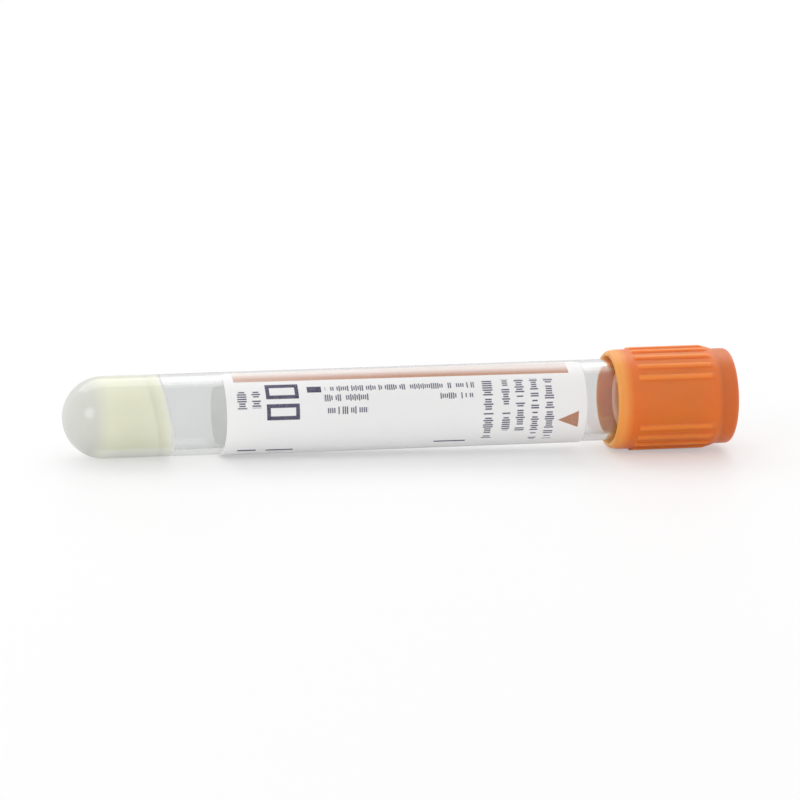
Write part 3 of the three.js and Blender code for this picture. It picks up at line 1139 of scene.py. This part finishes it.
def outer_corners():
    barrel_to_collar = [
        (BARREL_R + (COLLAR_R - BARREL_R) * share, SHOULDER_START + share, 0)
        for share in (0.4, 0.6, 0.8)
    ]
    rounding_z = TOP_Z - COLLAR_ROUNDING
    return [
        (LIP_R, LIP_Z, 0.08),
        *quarter(LIP_R, LIP_Z, BARREL_R, LIP_Z + LIP_ROLL, "out", 12),
        (BARREL_R, BARREL_START, 0),
        *level_run(BARREL_R, RIB_START + NEARLY, RIB_START + RIB_RISE, 8),
        *level_run(BARREL_R, *BARREL_RINGS, 4),
        *level_run(BARREL_R, RIB_FALL - RUN_IN, SHOULDER_START - SHOULDER_RUN_OUT, 9),
        (BARREL_R, SHOULDER_START, 0.25),
        *barrel_to_collar,
        (COLLAR_R, SHOULDER_TOP, 0.15),
        (COLLAR_R, rounding_z, 0),
        *quarter(COLLAR_R, rounding_z, COLLAR_R - COLLAR_ROUNDING, TOP_Z, "up", 8),
    ]


def inner_corners():
    return [
        (TOP_HOLE_R, TOP_Z, 0.3),
        (TOP_HOLE_R, PLATE_Z, 0.15),
        (CHAMBER_R, PLATE_Z, 0.1),
        (CHAMBER_R, SHELF_Z, 0.1),
        (SKIRT_BORE, SHELF_Z, 0.1),
        (SKIRT_BORE, BEAD_Z + BEAD_HEIGHT, 0.1),
        *[(BEAD_R, BEAD_Z + height, 0.1) for height in BEAD_FACE],
        (SKIRT_BORE, BEAD_Z, 0.1),
        *level_run(SKIRT_BORE, GUIDE_END + STEP_IN, GUIDE_END, 1),
        *level_run(SKIRT_BORE, *GUIDE_RINGS, 3),
        *level_run(SKIRT_BORE, GUIDE_START, GUIDE_START - STEP_IN, 1),
        (SKIRT_BORE, LIP_Z, 0.1),
    ]


outline = softened(outer_corners() + inner_corners(), True)
points, faces = turned(outline, SHIELD_FLATS, True, shield_push)
make_piece(
    "ribbed_shield", points, faces, "shield_body", "closure_shield",
    [shield_finish],
)

# %% [markdown]
# ## The bench
# The bench is a wide pale sheet with a slight sheen, so that it keeps the tube's shadow and a
# blurred image of it. Its faint unevenness stops it from looking like a void. Away from the
# tube it turns by degrees into the same plain white as the backdrop, so no horizon shows. A
# curved sweep of paper would hide the horizon too, but it would catch the lamps unevenly.

# %% Bench
BENCH_SIDE = 12.0
BENCH_PALE = ((0.88, 0.88, 0.88, 1), (0.90, 0.90, 0.90, 1))
BENCH_SHEEN = (0.44, 0.52)
BENCH_CLOUDS = 12.0
BENCH_GLOW = 0.40
FADE_START = 0.15
FADE_END = 0.60
WHITE = (1, 1, 1, 1)


def seen_directly(tree):
    """1 for what the camera sees, straight on, mirrored or through clear plastic."""
    rays = add_node(tree, "ShaderNodeLightPath").outputs
    seen = sums(tree, "MAXIMUM", rays["Is Camera Ray"], rays["Is Glossy Ray"])
    return sums(tree, "MAXIMUM", seen, rays["Is Transmission Ray"])


def bench_finish():
    finish = bpy.data.materials.new("pale_bench")
    finish.use_nodes = True
    tree = finish.node_tree
    shader = tree.nodes["Principled BSDF"]
    place = add_node(tree, "ShaderNodeTexCoord").outputs["Object"]
    cloud = add_node(tree, "ShaderNodeTexNoise", {"Vector": place, "Scale": BENCH_CLOUDS})
    cloud = cloud.outputs["Fac"]
    feed(tree, shader.inputs["Base Color"], mixed(tree, cloud, *BENCH_PALE))
    feed(tree, shader.inputs["Roughness"], spread(tree, cloud, *CLOUD_RANGE, *BENCH_SHEEN))
    bright = add_node(tree, "ShaderNodeEmission", {"Color": WHITE, "Strength": 1.0})
    away = length_of(tree, place)
    share = spread(tree, away, FADE_START, FADE_END, BENCH_GLOW, 1.0)
    seen = sums(tree, "MULTIPLY", seen_directly(tree), share)
    show(tree, blended(tree, seen, shader.outputs[0], bright.outputs[0]))
    return finish


def make_bench():
    mesh = bpy.data.meshes.new("bench")
    half = BENCH_SIDE / 2
    corners = [(-half, -half, 0), (half, -half, 0), (half, half, 0), (-half, half, 0)]
    mesh.from_pydata(corners, [], [(0, 1, 2, 3)])
    mesh.materials.append(bench_finish())
    sheet = bpy.data.objects.new("bench", mesh)
    bpy.context.scene.collection.objects.link(sheet)
    print("bench", [round(side, 1) for side in sheet.dimensions])


make_bench()

# %% [markdown]
# ## The light
# One large softbox stands behind the tube and above it. It draws the long highlight on the
# tube's upper side and a soft shadow towards the camera. A small round dish, low at the front
# left, rounds off the dome and the shield's lip. The world fills in the rest. The camera,
# mirrors and clear plastic see a white backdrop at a strength of 1, while the world's light
# on the pieces is dimmer, so that colours render about as they are written.

# %% World
AMBIENT = 0.78


def make_world():
    world = bpy.data.worlds.new("studio")
    world.use_nodes = True
    tree = world.node_tree
    tree.nodes.clear()
    fill = add_node(tree, "ShaderNodeBackground", {"Color": WHITE, "Strength": AMBIENT})
    backdrop = add_node(tree, "ShaderNodeBackground", {"Color": WHITE, "Strength": 1.0})
    sky = blended(tree, seen_directly(tree), fill.outputs[0], backdrop.outputs[0])
    output = tree.nodes.new("ShaderNodeOutputWorld")
    tree.links.new(sky, output.inputs["Surface"])
    bpy.context.scene.world = world


make_world()
print("world fill", AMBIENT)

# %% Lamps
def direction(azimuth, elevation):
    """From the tube outwards: degrees from straight in front towards the closure, and up."""
    turn, rise = math.radians(azimuth), math.radians(elevation)
    level = math.cos(rise)
    return Vector((math.sin(turn) * level, -math.cos(turn) * level, math.sin(rise)))


def make_lamp(name, shape, toward, distance, width, height, glow):
    """A soft lamp aimed at the tube. Sizes are metres; glow is its brightness, white being 1."""
    lamp = bpy.data.lights.new(name, "AREA")
    lamp.shape = shape
    lamp.size = width
    lamp.size_y = height
    lamp.energy = glow * math.pi * width * height
    if shape == "ELLIPSE":
        lamp.energy *= math.pi / 4
    holder = bpy.data.objects.new(name, lamp)
    holder.location = toward * distance
    holder.rotation_mode = "QUATERNION"
    holder.rotation_quaternion = toward.to_track_quat("Z", "Y")
    bpy.context.scene.collection.objects.link(holder)
    print(name, "energy", round(lamp.energy, 2), "W")


make_lamp(
    "rear_softbox", "RECTANGLE", direction(172, 53), distance=0.8, width=1.30, height=0.58,
    glow=1.25,
)
make_lamp(
    "front_left_dish", "ELLIPSE", direction(-55, 20), distance=1.0, width=0.50, height=0.50,
    glow=2.8,
)

# %% [markdown]
# ## The camera
# The camera stands low and well back, a little to the left of square on, and a long lens
# brings the tube close. A near camera with a short lens would stretch the closure. It is
# rolled by two and a half degrees, so the tube climbs gently to the right.

# %% Camera
VIEW = direction(-14.14, 13.18)
VIEW_DISTANCE = 1.1685
VIEW_ROLL = math.radians(2.43)
LOOK_AT = Vector((0.13, 0.0, 8.58)) * MM
LENS = 331.5
SENSOR = 36.0
CLIP = (0.05, 20.0)


def make_camera():
    camera = bpy.data.cameras.new("camera")
    camera.lens = LENS
    camera.sensor_width = SENSOR
    camera.clip_start, camera.clip_end = CLIP
    holder = bpy.data.objects.new("camera", camera)
    holder.location = LOOK_AT + VIEW * VIEW_DISTANCE
    aim = (-VIEW).to_track_quat("-Z", "Y").to_matrix()
    holder.rotation_euler = (aim @ Matrix.Rotation(VIEW_ROLL, 3, "Z")).to_euler()
    bpy.context.scene.collection.objects.link(holder)
    bpy.context.scene.camera = holder
    print("camera at", [round(place, 3) for place in holder.location])


make_camera()
bpy.context.scene.view_settings.view_transform = "Standard"
